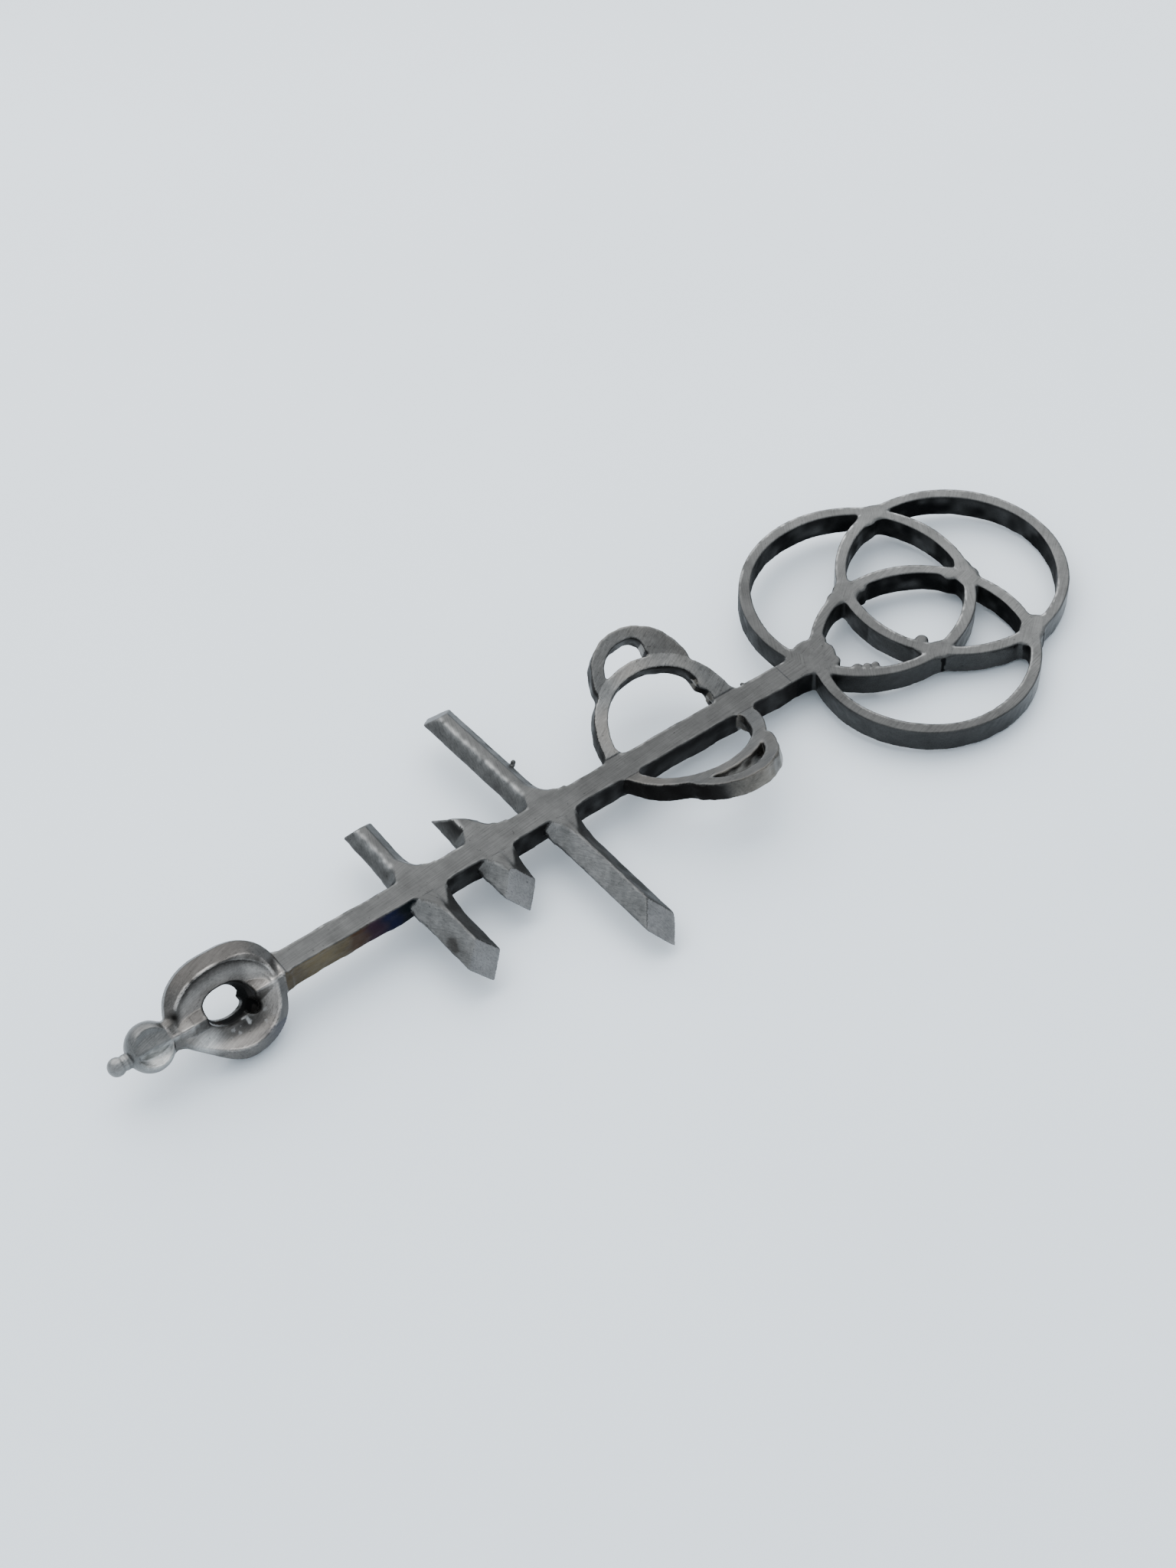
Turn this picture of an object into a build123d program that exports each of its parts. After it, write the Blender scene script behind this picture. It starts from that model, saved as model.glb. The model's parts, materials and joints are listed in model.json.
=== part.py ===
"""Welded steel ornament: a square shaft with six arms, a winged collar, a pierced eye and three rings.

Every piece is built in the weldment's own flat frame: +X along the shaft towards the rings,
+Y to the left arms, +Z up, and Z = 0 on the flush underside of the shaft and the rings.
The eye hangs below that underside, so the finished work is tipped onto the surface it lies on,
and its origin is then the middle of its box, at the bottom.
All lengths are in millimetres and all angles in degrees.
"""
import os
from math import cos, hypot, radians, sin, sqrt, tan

from build123d import *

# Stock: 10 mm square bar, and 10 mm slices of steel pipe.
BAR = 10.0
MID = BAR / 2

# Rings, cut from pipe and lapped through one another. Centres are (x, y).
RING_RIM = 4.6
RINGS = {
    "left": ((-12.2, 17.4), 45.2),
    "right": ((-11.1, -21.2), 43.4),
    "end": ((23.3, 3.5), 44.7),
}
LAP_GAP = 0.1

# Shaft.
SHAFT_START = -284.0
SHAFT_END = -42.0
SHAFT_HALF = BAR / 2
ROOT_WELD = ((-46.0, 0.9), 9.3)
RING_WELD_R = 6.0
RING_WELDS = {
    "weld_left_end_outer": ("left", "end", 1),
    "weld_left_end_inner": ("left", "end", -1),
    "weld_end_right_outer": ("end", "right", 1),
    "weld_end_right_inner": ("end", "right", -1),
    "weld_left_right": ("left", "right", 1),
}
WELD_FIT = 0.02

# Arms, set edge-up. Each: side, x at the shaft, lean towards +X, reach from the shaft's middle,
# side of the bar, slope of the end cut, and the height the top edge is ground down to.
UNGROUND = 2 * BAR
ARMS = {
    "arm_long_left": (1, -170.8, -3.4, 65.0, 9.0, 45.0, 9.4),
    "arm_long_right": (-1, -169.5, 2.4, 62.5, 9.0, 52.0, UNGROUND),
    "arm_medium_left": (1, -228.0, -0.3, 37.0, 8.6, 35.0, 9.4),
    "arm_medium_right": (-1, -226.5, 2.0, 39.0, 10.3, 34.0, UNGROUND),
    "arm_short_left": (1, -197.5, -2.0, 20.0, 9.6, 41.0, 9.8),
    "arm_short_right": (-1, -197.5, 1.0, 21.0, 10.0, 40.0, UNGROUND),
}
END_SKEW = {"arm_short_left": 38.0}
GRIND_RUN = 15.0
ARM_WELD = {1: 6.5, -1: 3.5}
ARM_WELD_SPAN = (2.0, 8.5)

# Collar: two pairs of hoops folded up from the shaft's top edges like wings.
WING_FOLD = 22.0
WING_THICK = 7.0
HOOP_X = -110.7
HOOP_OUT = 28.8
HOOP_IN = 23.6
HOOP_FOOT = 3.0
CREST_X = -108.0
CREST_RIM = 5.2
# Side, centre out from the shaft's edge, outer radius, and where the opening ends at its front.
CRESTS = {"left": (1, 22.8, 19.4, -101.6), "right": (-1, 20.4, 19.1, -88.0)}
CREST_WELD_R = 4.0
CREST_WELD_DEPTH = 6.0
FOOT_WELD_R = 5.0
FOOT_WELD_LOW = 4.0

# Eye: a thick pierced oval, twisted about the shaft, with a spine along the shaft's line.
EYE_X = -306.9
EYE_TWIST = 45.0
EYE_DROP = 1.2
EYE_HALF = 7.3
EYE_EDGE = 1.8
EYE_RIM = (21.6, 19.0)
EYE_CREST = (17.0, 14.6)
EYE_HOLE_R = 6.7
EYE_HOLE_SPREAD = 4.8
EYE_HOLE_X = -0.2
EYE_HOLE_LEAN = 14.0
SCOOP_R = 7.5
SCOOP_DEPTH = 3.0
SCOOP_U = 7.6
NECK = 6.4
NECK_BURY = 0.9
STUB = 9.0
STUB_BURY = 0.85

# Tip: bead, small collar and ball, a little below the shaft's middle.
TIP_Y = -0.3
TIP_Z = 4.4
BEAD_X = -336.4
BEAD_HALF = 8.4
BEAD_R = 8.2
BEAD_CUT = 0.8
TIP_COLLAR = (-347.2, -344.4)
TIP_COLLAR_R = 2.9
TIP_COLLAR_ROUND = 0.6
BALL_X = -349.4
BALL_R = 3.45
BALL_HALF = 3.5

# Spatter: (x, y, z, radius) of the balls of weld metal stuck to the work.
SPATTER_STRETCH = 1.1
SPATTER = ((-165.5, 28.2, 5.4, 1.0), (-77.0, 5.95, 8.8, 0.9))

# Resting pose: pitch about Y and roll about X that set the work down on the surface.
REST_PITCH = 1.640
REST_ROLL = 2.437


def disc(centre, radius, bottom=0.0, top=BAR):
    """An upright cylinder between two heights."""
    cylinder = Cylinder(radius, top - bottom, align=(Align.CENTER, Align.CENTER, Align.MIN))
    return Pos(centre[0], centre[1], bottom) * cylinder


def annulus(side, bottom=0.0, top=BAR, gap=0.0):
    """One ring's full body, or a slab of it, with its walls moved out by gap."""
    centre, radius = RINGS[side]
    outer = disc(centre, radius + gap, bottom, top)
    return outer - disc(centre, radius - RING_RIM - gap, bottom - 1, top + 1)


def ring(side, over, under):
    """A ring half-lapped at its crossings: it passes over some rings and under others."""
    body = annulus(side)
    for other in over:
        body -= annulus(other, -1, MID, LAP_GAP)
    for other in under:
        body -= annulus(other, MID, BAR + 1, LAP_GAP)
    return body


def shaft():
    """The square bar, coped at its front end to sit against the two rings."""
    length = SHAFT_END - SHAFT_START
    bar = Pos((SHAFT_START + SHAFT_END) / 2, 0, MID) * Box(length, BAR, BAR)
    for side in ("left", "right"):
        bar -= disc(*RINGS[side], -1, BAR + 1)
    return bar


def crossing(first, second, sign):
    """Where the middles of two rings' rims cross; sign picks the side."""
    (ax, ay), ar = RINGS[first]
    (bx, by), br = RINGS[second]
    ar -= RING_RIM / 2
    br -= RING_RIM / 2
    dx, dy = bx - ax, by - ay
    gap = hypot(dx, dy)
    along = (ar ** 2 - br ** 2 + gap ** 2) / (2 * gap)
    across = sign * sqrt(ar ** 2 - along ** 2)
    return (ax + (along * dx - across * dy) / gap, ay + (along * dy + across * dx) / gap)


def corner_weld(centre, radius):
    """Weld filling the corners where two rings cross, ground flush with them."""
    fill = disc(centre, radius)
    for side in RINGS:
        fill -= annulus(side, -1, BAR + 1, WELD_FIT)
    return fill


def shaft_room():
    """The room that the shaft takes, for cutting the pieces that butt against its sides."""
    return Pos((SHAFT_START + SHAFT_END) / 2, 0, MID) * Box(SHAFT_END - SHAFT_START, BAR, 2 * BAR)


def root_weld():
    """The wide weld that joins the shaft's end to the left and right rings."""
    fill = disc(*ROOT_WELD) - shaft_room()
    for side in ("left", "right"):
        fill -= annulus(side, -1, BAR + 1, WELD_FIT)
    return fill


def arm(side, x, lean, reach, bar, cut, ground, skew=0.0):
    """One edge-up square bar, its end cut to a slope and its top edge ground near the shaft."""
    half_diagonal = bar / sqrt(2)
    section = Plane.XZ * Pos(0, MID) * Polygon(
        (half_diagonal, 0), (0, half_diagonal), (-half_diagonal, 0), (0, -half_diagonal), align=None
    )
    body = extrude(section, amount=-(reach + 3 * bar))
    end = Plane((0, reach, MID), z_dir=(tan(radians(skew)), 1, tan(radians(cut))))
    body = split(body, bisect_by=end, keep=Keep.BOTTOM)
    ridge = min(MID + half_diagonal, ground)
    rise = (ridge - BAR) / GRIND_RUN
    if rise > 0:
        slope = Plane((0, SHAFT_HALF, BAR), z_dir=(0, -rise, 1))
        body = split(body, bisect_by=slope, keep=Keep.BOTTOM)
    body = split(body, bisect_by=Plane((0, 0, ground), z_dir=(0, 0, 1)), keep=Keep.BOTTOM)
    turn = -lean if side > 0 else 180 + lean
    return Pos(x, 0, 0) * Rot(0, 0, turn) * body - shaft_room()


def arm_weld(side, x, lean, bar, body):
    """A ground fillet in the corner between an arm's front side and the shaft."""
    leg = ARM_WELD[side]
    low, high = ARM_WELD_SPAN
    near = x + bar / sqrt(2) + SHAFT_HALF * tan(radians(lean))
    middle = (near + leg / 2 - leg, side * SHAFT_HALF)
    block = Pos(*middle, (low + high) / 2) * Box(2 * leg, 2 * leg, high - low)
    hollow = disc((near + leg, side * (SHAFT_HALF + leg)), leg, low - 1, high + 1)
    block -= Pos(near - leg, 0, MID) * Box(2 * leg, 4 * BAR, 2 * BAR)
    return block - hollow - shaft_room() - body


def wing(side):
    """The frame of one wing: its X runs along the shaft and its Y out along the fold."""
    fold = WING_FOLD if side > 0 else 180 - WING_FOLD
    return Pos(0, side * SHAFT_HALF, BAR) * Rot(fold, 0, 0)


def wing_disc(side, centre, radius, depth=WING_THICK, extra=0.0):
    """A disc lying in a wing, its upper face in the wing's plane; extra makes it a through cut."""
    low, high = (-depth, 0) if side > 0 else (0, depth)
    return disc(centre, radius, low - extra, high + extra)


def hoop(side):
    """The inner hoop of a wing: half a pipe slice standing on the shaft's side."""
    centre = (HOOP_X, 0)
    body = wing_disc(side, centre, HOOP_OUT) - wing_disc(side, centre, HOOP_IN, extra=1)
    body &= Pos(HOOP_X, HOOP_OUT - HOOP_FOOT, 0) * Box(4 * HOOP_OUT, 2 * HOOP_OUT, 4 * BAR)
    return wing(side) * body - shaft_room()


def crest(side, centre_y, radius, front):
    """The outer hoop of a wing: an arc that stands on the inner hoop, closed ahead of front."""
    centre = (CREST_X, centre_y)
    hole = wing_disc(side, centre, radius - CREST_RIM, extra=1)
    hole &= Pos(front - radius, centre_y, 0) * Box(2 * radius, 2 * radius, 4 * BAR)
    body = wing_disc(side, centre, radius) - hole
    body -= wing_disc(side, (HOOP_X, 0), HOOP_OUT, extra=1)
    return wing(side) * body


def crest_weld(side, centre_y, radius, sign, body):
    """Weld in the corners where one end of a crest stands on the hoop."""
    middle = radius - CREST_RIM / 2
    dx, dy = CREST_X - HOOP_X, centre_y
    gap = hypot(dx, dy)
    along = (HOOP_OUT ** 2 - middle ** 2 + gap ** 2) / (2 * gap)
    across = -sign * sqrt(HOOP_OUT ** 2 - along ** 2)
    at = (HOOP_X + (along * dx - across * dy) / gap, (along * dy + across * dx) / gap)
    fill = wing_disc(side, at, CREST_WELD_R, CREST_WELD_DEPTH)
    fill -= wing_disc(side, (HOOP_X, 0), HOOP_OUT, extra=1)
    return wing(side) * fill - body


def eye_frame():
    """The eye's frame: X along the shaft, Y across the disc, Z out of its face."""
    down = radians(EYE_TWIST)
    return Pos(EYE_X, -EYE_DROP * cos(down), MID - EYE_DROP * sin(down)) * Rot(EYE_TWIST, 0, 0)


def eye():
    """The pierced oval, with both rims bevelled and both faces scooped beside a spine."""
    rim = Ellipse(*EYE_RIM)
    crest_line = Ellipse(*EYE_CREST)
    body = extrude(Pos(0, 0, -EYE_EDGE) * rim, amount=2 * EYE_EDGE)
    for face in (1, -1):
        body += loft([Pos(0, 0, face * EYE_EDGE) * rim, Pos(0, 0, face * EYE_HALF) * crest_line])
    lift = EYE_HALF + SCOOP_R - SCOOP_DEPTH
    for face in (1, -1):
        for hand in (1, -1):
            body -= Pos(0, hand * SCOOP_U, face * lift) * Rot(0, 90, 0) * Cylinder(SCOOP_R, 60)
    for shift in (-1, 1):
        at = Pos(EYE_HOLE_X + shift * EYE_HOLE_SPREAD / 2, 0, 0)
        body -= at * Rot(0, EYE_HOLE_LEAN, 0) * Cylinder(EYE_HOLE_R, 60)
    return eye_frame() * body


def neck():
    """The short square bar between the eye and the bead."""
    back = BEAD_X + BEAD_HALF * BEAD_CUT
    front = EYE_X - EYE_RIM[0] * NECK_BURY
    return Pos((back + front) / 2, TIP_Y, TIP_Z) * Box(front - back, NECK, NECK)


def eye_weld():
    """The stub and weld between the eye and the shaft's end."""
    back = EYE_X + EYE_RIM[0] * STUB_BURY
    return Pos((back + SHAFT_START) / 2, 0, MID) * Box(SHAFT_START - back, STUB, STUB)


def turned(half, radius):
    """An egg turned on the X axis, half long to each end."""
    profile = Ellipse(half, radius) & Pos(0, radius) * Rectangle(4 * half, 2 * radius)
    return revolve(profile, axis=Axis.X)


def bead():
    """The egg-shaped bead along the shaft's line, cut off flat at both ends."""
    back = TIP_COLLAR[1] - BEAD_X
    front = BEAD_HALF * BEAD_CUT
    room = Pos((back + front) / 2, 0, 0) * Box(front - back, 4 * BEAD_R, 4 * BEAD_R)
    return Pos(BEAD_X, TIP_Y, TIP_Z) * (turned(BEAD_HALF, BEAD_R) & room)


def tip_collar():
    """The small collar between the bead and the ball."""
    length = TIP_COLLAR[1] - TIP_COLLAR[0]
    middle = (TIP_COLLAR[0] + TIP_COLLAR[1]) / 2
    body = Pos(middle, TIP_Y, TIP_Z) * Rot(0, 90, 0) * Cylinder(TIP_COLLAR_R, length)
    return fillet(body.edges().filter_by(GeomType.CIRCLE), TIP_COLLAR_ROUND)


def ball():
    """The ball at the tip, cut flat against the small collar."""
    front = TIP_COLLAR[0] - BALL_X
    room = Pos(front - 2 * BALL_R, 0, 0) * Box(4 * BALL_R, 4 * BALL_R, 4 * BALL_R)
    return Pos(BALL_X, TIP_Y, TIP_Z) * (turned(BALL_HALF, BALL_R) & room)


def foot_weld(side, x):
    """The weld where one end of a hoop stands on the shaft."""
    fill = disc((x, side * SHAFT_HALF), FOOT_WELD_R, FOOT_WELD_LOW, BAR)
    return fill - shaft_room() - hoop(side)


def spatter(x, y, z, radius):
    """A ball of weld metal stuck to the work."""
    return Pos(x, y, z) * turned(SPATTER_STRETCH * radius, radius)


def build():
    """Make every piece in the flat frame, by node name."""
    nodes = {"shaft": shaft()}
    nodes["ring_left"] = ring("left", (), ("right", "end"))
    nodes["ring_right"] = ring("right", ("left",), ("end",))
    nodes["ring_end"] = ring("end", ("left", "right"), ())
    nodes["weld_ring_root"] = root_weld()
    for name, (first, second, sign) in RING_WELDS.items():
        nodes[name] = corner_weld(crossing(first, second, sign), RING_WELD_R)
    for name, (side, x, lean, reach, bar, cut, ground) in ARMS.items():
        nodes[name] = arm(side, x, lean, reach, bar, cut, ground, END_SKEW.get(name, 0.0))
        nodes[f"weld_{name}"] = arm_weld(side, x, lean, bar, nodes[name])
    for hand, (side, centre_y, radius, opening) in CRESTS.items():
        nodes[f"collar_hoop_{hand}"] = hoop(side)
        outer = crest(side, centre_y, radius, opening)
        nodes[f"collar_crest_{hand}"] = outer
        for end, sign in (("front", 1), ("back", -1)):
            x = HOOP_X + sign * (HOOP_OUT + HOOP_IN) / 2
            nodes[f"weld_hoop_{hand}_{end}"] = foot_weld(side, x)
            nodes[f"weld_crest_{hand}_{end}"] = crest_weld(side, centre_y, radius, sign, outer)
    nodes["eye"] = eye()
    nodes["neck"] = neck() - nodes["eye"]
    nodes["weld_eye"] = eye_weld() - nodes["eye"]
    nodes["bead"] = bead()
    nodes["tip_collar"] = tip_collar()
    nodes["tip_ball"] = ball()
    nodes["spatter_arm"] = spatter(*SPATTER[0]) - nodes["arm_long_left"]
    nodes["spatter_shaft"] = spatter(*SPATTER[1])
    return nodes


def main():
    """Set the work down in its resting pose and write one STEP file per piece."""
    os.makedirs("parts", exist_ok=True)
    nodes = build()
    pose = Rot(REST_ROLL, REST_PITCH, 0)
    placed = {name: pose * body for name, body in nodes.items()}
    boxes = [body.bounding_box() for body in placed.values()]
    middle_x = (min(box.min.X for box in boxes) + max(box.max.X for box in boxes)) / 2
    middle_y = (min(box.min.Y for box in boxes) + max(box.max.Y for box in boxes)) / 2
    shift = Pos(-middle_x, -middle_y, -min(box.min.Z for box in boxes))
    print("origin in the flat frame", shift.inverse().position)
    for name, body in placed.items():
        export_step(shift * body, f"parts/{name}.step")


main()
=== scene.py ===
"""Looks for the welded steel ornament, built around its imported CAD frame.

Every piece is described by a distance field in the weldment's flat frame (millimetres, +X along
the shaft, Z = 0 on the flush underside). The fields are merged with soft joints where they are
welded, and one grid then gives each piece its own closed mesh, so that neighbours share their
seams exactly. The meshes are set down in the row frame with the pose that the record's
underside mount gives.
"""
import json
import math
from collections import namedtuple

import bpy
import numpy as np
from mathutils import Matrix, Vector


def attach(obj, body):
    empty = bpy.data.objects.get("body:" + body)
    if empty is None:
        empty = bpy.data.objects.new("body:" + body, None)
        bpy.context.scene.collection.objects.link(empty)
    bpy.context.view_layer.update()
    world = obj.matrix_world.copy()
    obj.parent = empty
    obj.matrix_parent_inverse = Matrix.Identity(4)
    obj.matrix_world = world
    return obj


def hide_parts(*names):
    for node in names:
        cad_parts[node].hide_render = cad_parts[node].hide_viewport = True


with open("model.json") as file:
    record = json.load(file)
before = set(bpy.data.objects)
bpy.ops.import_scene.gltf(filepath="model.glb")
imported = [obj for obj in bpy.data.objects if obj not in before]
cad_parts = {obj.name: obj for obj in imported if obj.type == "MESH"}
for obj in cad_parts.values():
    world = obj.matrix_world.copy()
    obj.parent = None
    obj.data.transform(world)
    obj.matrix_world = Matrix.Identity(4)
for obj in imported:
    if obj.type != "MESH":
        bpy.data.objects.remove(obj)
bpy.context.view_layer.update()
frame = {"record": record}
RECORD = frame["record"]
MM = 0.001
HALF_ROOT = 0.7071

# ------------------------------------------------------------------ pose
under = next(m for m in RECORD["mounts"] if m["name"] == "underside")
down = np.array(under["axis"], float)
pitch = math.asin(-down[0])
roll = math.atan2(down[1], -down[2])
turn_x = np.array(Matrix.Rotation(roll, 3, "X"))
turn_y = np.array(Matrix.Rotation(pitch, 3, "Y"))
POSE = turn_x @ turn_y
UNDER_POINT = np.array([-60.0, 0.0, 0.0])
SHIFT = np.array(under["pos_m"], float) / MM - POSE @ UNDER_POINT


def place(points):
    """Flat-frame millimetres to row-frame metres."""
    return (np.asarray(points, float) @ POSE.T + SHIFT) * MM


# ------------------------------------------------------------------ noise
def lump(p, size, seed):
    """Smooth noise from -1 to 1 with lumps of a given size in millimetres."""
    table = np.random.default_rng(seed).uniform(-1, 1, (32, 32, 32)).astype(np.float32)
    q = p / size + 100.0
    i = np.floor(q).astype(np.int64)
    t = (q - i).astype(np.float32)
    t = t * t * (3 - 2 * t)
    out = 0
    for dx in (0, 1):
        for dy in (0, 1):
            for dz in (0, 1):
                w = (t[:, 0] if dx else 1 - t[:, 0]) * (t[:, 1] if dy else 1 - t[:, 1])
                w = w * (t[:, 2] if dz else 1 - t[:, 2])
                v = table[(i[:, 0] + dx) % 32, (i[:, 1] + dy) % 32, (i[:, 2] + dz) % 32]
                out = out + w * v
    return out


def step(x, lo, hi):
    """0 below lo, 1 above hi and smooth between."""
    t = np.clip((x - lo) / (hi - lo), 0, 1)
    return t * t * (3 - 2 * t)


# ------------------------------------------------------------------ field helpers
def bevel(a, b, size):
    """Intersection of two fields with a flat bevel on the edge."""
    return np.maximum(np.maximum(a, b), (a + b + size) * HALF_ROOT)


def soft(a, b, size):
    """Union of two fields with a fillet in the corner."""
    h = np.clip(size - np.abs(a - b), 0, None) / size
    return np.minimum(a, b) - h * h * size * 0.25


def soft_cut(a, b, size):
    """Intersection of two fields with a rounded edge."""
    return -soft(-a, -b, size)


def circle(x, y, cx, cy, r):
    """Distance outside an upright cylinder."""
    return np.sqrt((x - cx) ** 2 + (y - cy) ** 2) - r


def ball(x, y, z, cx, cy, cz, r):
    """Distance outside a ball."""
    return np.sqrt((x - cx) ** 2 + (y - cy) ** 2 + (z - cz) ** 2) - r


def egg(x, y, z, c, r):
    """An ellipsoid's approximate distance."""
    k = np.sqrt(((x - c[0]) / r[0]) ** 2 + ((y - c[1]) / r[1]) ** 2 + ((z - c[2]) / r[2]) ** 2)
    return (k - 1) * min(r)


# ------------------------------------------------------------------ sizes, flat frame, millimetres
TOP = 10.0
MID = 5.0
RIM = 4.6
RINGS = {"ring_left": (-12.2, 17.4, 45.2), "ring_right": (-11.1, -21.2, 43.4), "ring_end": (23.3, 3.5, 44.7)}
OVER = {"ring_left": ("ring_right", "ring_end"), "ring_right": ("ring_end",), "ring_end": ()}
# Each ring weld is a few lumps: (x, y, radius, height of its top).
RING_WELDS = {
    "weld_left_end_outer": ((19.9, 45.9, 4.4, 10), (15.5, 44.5, 3.4, 10)),
    "weld_left_end_inner": ((-7.8, -25.3, 4.6, 10), (-9.4, -17.0, 2.5, 9.7), (-12.5, -21.0, 2.4, 9.6)),
    "weld_end_right_outer": ((26.2, -38.8, 4.8, 10), (30.5, -36.0, 3.6, 10), (21.8, -40.8, 3.6, 10)),
    "weld_end_right_inner": ((-16.0, 19.6, 5.2, 10), (-21.5, 18.8, 3.4, 10), (-10.5, 18.0, 2.6, 10)),
    "weld_left_right": ((25.7, -2.8, 4.4, 10), (21.5, 2.4, 3.1, 10), (28.0, 2.6, 3.2, 10),
                        (28.4, -1.6, 3.0, 10)),
}
# side is 1 to the left; x is where the arm's axis meets the shaft's; lean, cut and skew are in degrees;
# ground is the height that the arm's top ridge is ground down to.
Arm = namedtuple("Arm", "side x lean reach bar cut ground skew")
UNGROUND = 20.0
ARMS = {
    "arm_long_left": Arm(1, -170.8, -3.4, 65.0, 9.0, 45.0, 9.4, 0.0),
    "arm_long_right": Arm(-1, -169.5, 2.4, 62.5, 9.0, 52.0, UNGROUND, 0.0),
    "arm_medium_left": Arm(1, -228.0, -0.3, 37.0, 8.6, 35.0, 9.4, 0.0),
    "arm_medium_right": Arm(-1, -226.5, 2.0, 39.0, 10.3, 34.0, UNGROUND, 0.0),
    "arm_short_left": Arm(1, -197.5, -2.0, 20.0, 9.6, 41.0, 9.8, 38.0),
    "arm_short_right": Arm(-1, -197.5, 1.0, 21.0, 10.0, 40.0, UNGROUND, 0.0),
}
# Painted light and shade on each arm's cut end: bright on the right arms, darkest on the medium left one.
END_LIT_TONE = {"arm_long_left": 0.20, "arm_medium_left": 0.10, "arm_short_left": 0.20,
            "arm_long_right": 0.45, "arm_medium_right": 0.47, "arm_short_right": 0.50}
FOLD = math.radians(22.0)
HOOP = (-110.7, 28.8, 23.6)
CRESTS = {"left": (-108.0, 22.8, 19.4), "right": (-108.0, 20.4, 19.1)}
WING_THICK = 7.0
EYE = (-306.9, -0.85, 4.15)
TWIST = math.radians(45.0)
BEAD = (-336.4, -0.3, 4.4)

GRID = 0.5
LOW = np.array([-355.0, -75.0, -13.5])
HIGH = np.array([70.5, 75.0, 28.0])
AX = [np.arange(LOW[i], HIGH[i], GRID, dtype=np.float32) for i in range(3)]
SHAPE = tuple(len(a) for a in AX)
FIELD = np.full(SHAPE, 9.0, np.float32)
NEAR = np.full(SHAPE, 9.0, np.float32)
LABEL = np.zeros(SHAPE, np.uint8)
NAMES = []


def window(lo, hi):
    """The grid's part between two corners, and its coordinates."""
    sl, xyz = [], []
    for i in range(3):
        a = max(int((lo[i] - LOW[i]) / GRID), 0)
        b = min(int((hi[i] - LOW[i]) / GRID) + 2, SHAPE[i])
        sl.append(slice(a, b))
        shape = [1, 1, 1]
        shape[i] = b - a
        xyz.append(AX[i][a:b].reshape(shape))
    return tuple(sl), xyz


def add(name, lo, hi, field, join=0.0, claim=None):
    """Merge one piece into the grid. join is the fillet to what is there; claim is its own share."""
    sl, (x, y, z) = window(np.array(lo) - 4, np.array(hi) + 4)
    d = field(x, y, z).astype(np.float32)
    d = np.broadcast_to(d, FIELD[sl].shape)
    share = d if claim is None else np.broadcast_to(claim(d, x, y, z), d.shape)
    NAMES.append(name)
    mine = share < NEAR[sl]
    LABEL[sl][mine] = len(NAMES)
    NEAR[sl][mine] = share[mine]
    old = FIELD[sl]
    FIELD[sl] = soft(old, d, join) if join else np.minimum(old, d)


def clip(lo, hi, field, size=0.0):
    """Grind away everything outside a field, within a window."""
    sl, (x, y, z) = window(lo, hi)
    d = np.broadcast_to(field(x, y, z), FIELD[sl].shape)
    FIELD[sl] = bevel(FIELD[sl], d, size) if size else np.maximum(FIELD[sl], d)


# ------------------------------------------------------------------ rings and their welds
def ring_field(name):
    """A flat ring with a slightly uneven wall."""
    cx, cy, r = RINGS[name]

    def field(x, y, z):
        rad = np.sqrt((x - cx) ** 2 + (y - cy) ** 2)
        wave = 0.16 * np.sin(5 * np.arctan2(y - cy, x - cx) + cx)
        wall = np.maximum(rad - r - 0.3 * wave, r - RIM - rad - wave * 1.2)
        return bevel(wall, np.abs(z - MID) - MID, 0.3)
    return field


def ring_claim(name):
    """A ring's own share: at a half lap its upper half belongs to the ring that passes over."""
    def claim(d, x, y, z):
        for other in OVER[name]:
            hidden = ring_field(other)(x, y, z)
            d = np.where(z > MID, np.maximum(d, -hidden), d)
        return d
    return claim


for ring_name, (rx, ry, rr) in RINGS.items():
    add(ring_name, (rx - rr, ry - rr, 0), (rx + rr, ry + rr, 10), ring_field(ring_name), 1.6,
        ring_claim(ring_name))


def lumps_field(lumps):
    """A weld made of a few lumps."""
    def field(x, y, z):
        d = None
        for lx, ly, r, top in lumps:
            one = bevel(circle(x, y, lx, ly, r), np.maximum(z - top, 1.0 - z), 0.9)
            d = one if d is None else soft(d, one, 1.2)
        return d
    return field


def bounds_of(lumps, extra=2.0):
    """The window that a weld's lumps need."""
    low = [min(k[i] - k[2] for k in lumps) - extra for i in (0, 1)]
    high = [max(k[i] + k[2] for k in lumps) + extra for i in (0, 1)]
    return (*low, 0), (*high, 11)


for weld_name, lumps in RING_WELDS.items():
    add(weld_name, *bounds_of(lumps), lumps_field(lumps), 2.0, lambda d, x, y, z: d + 1.2)


def root_field(x, y, z):
    """The wide weld pad between the rings and the shaft, with drips along its edge."""
    pad = soft(circle(x, y, -47.0, 0.9, 8.4), circle(x, y, -53.0, 0.4, 6.2), 3.0)
    for lx, ly, r in ((-40.8, 6.0, 3.2), (-41.6, 0.2, 3.0), (-42.6, -5.4, 2.6)):
        pad = soft(pad, circle(x, y, lx, ly, r), 0.8)
    for lx, ly, r in ((-37.8, -13.6, 1.8), (-34.6, -15.4, 1.6), (-31.6, -16.6, 1.5)):
        pad = np.minimum(pad, circle(x, y, lx, ly, r))
    return bevel(pad, np.abs(z - MID) - 5.1, 0.5)


add("weld_ring_root", (-60, -19, 0), (-29, 12, 10), root_field, 1.6, lambda d, x, y, z: d + 0.6)


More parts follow.
